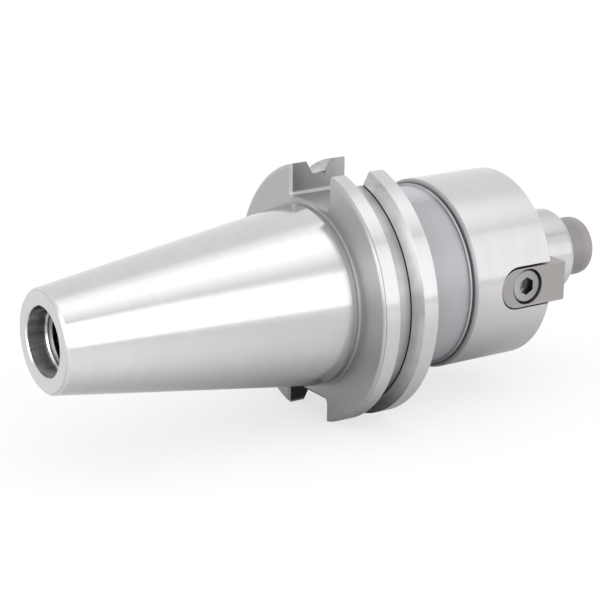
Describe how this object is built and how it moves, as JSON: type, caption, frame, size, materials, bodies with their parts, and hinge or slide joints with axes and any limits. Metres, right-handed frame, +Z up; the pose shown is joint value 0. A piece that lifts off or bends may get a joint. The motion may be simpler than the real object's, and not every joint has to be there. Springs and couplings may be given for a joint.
{
  "type": "face mill arbor",
  "caption": "Steep taper shank arbor with a grooved gripper flange, drive keys and a round pilot that carries a face milling cutter, held by a socket head screw.",
  "frame": {"origin": "centre of the taper's gauge plane, on the spindle axis", "axes": "+X along the spindle axis towards the cutter, +Z up through the shallower drive slot of the flange, the drive keys along Y"},
  "size_m": [0.1564, 0.0636, 0.0614],
  "materials": {
    "body_steel": "ground and fine turned",
    "key_steel": "matte ground",
    "key_screw_steel": "satin",
    "cutter_screw_steel": "matte"
  },
  "bodies": {
    "arbor": {"arbor_body": "body_steel", "drive_key_1": "key_steel", "drive_key_2": "key_steel", "key_screw_1": "key_screw_steel", "key_screw_2": "key_screw_steel"},
    "retaining_screw": {"cutter_screw": "cutter_screw_steel"}
  },
  "joints": [
    {"name": "cutter_screw_travel", "type": "slide", "parent": "arbor", "child": "retaining_screw", "axis": [1, 0, 0], "range_m": [0, 0.03]}
  ]
}
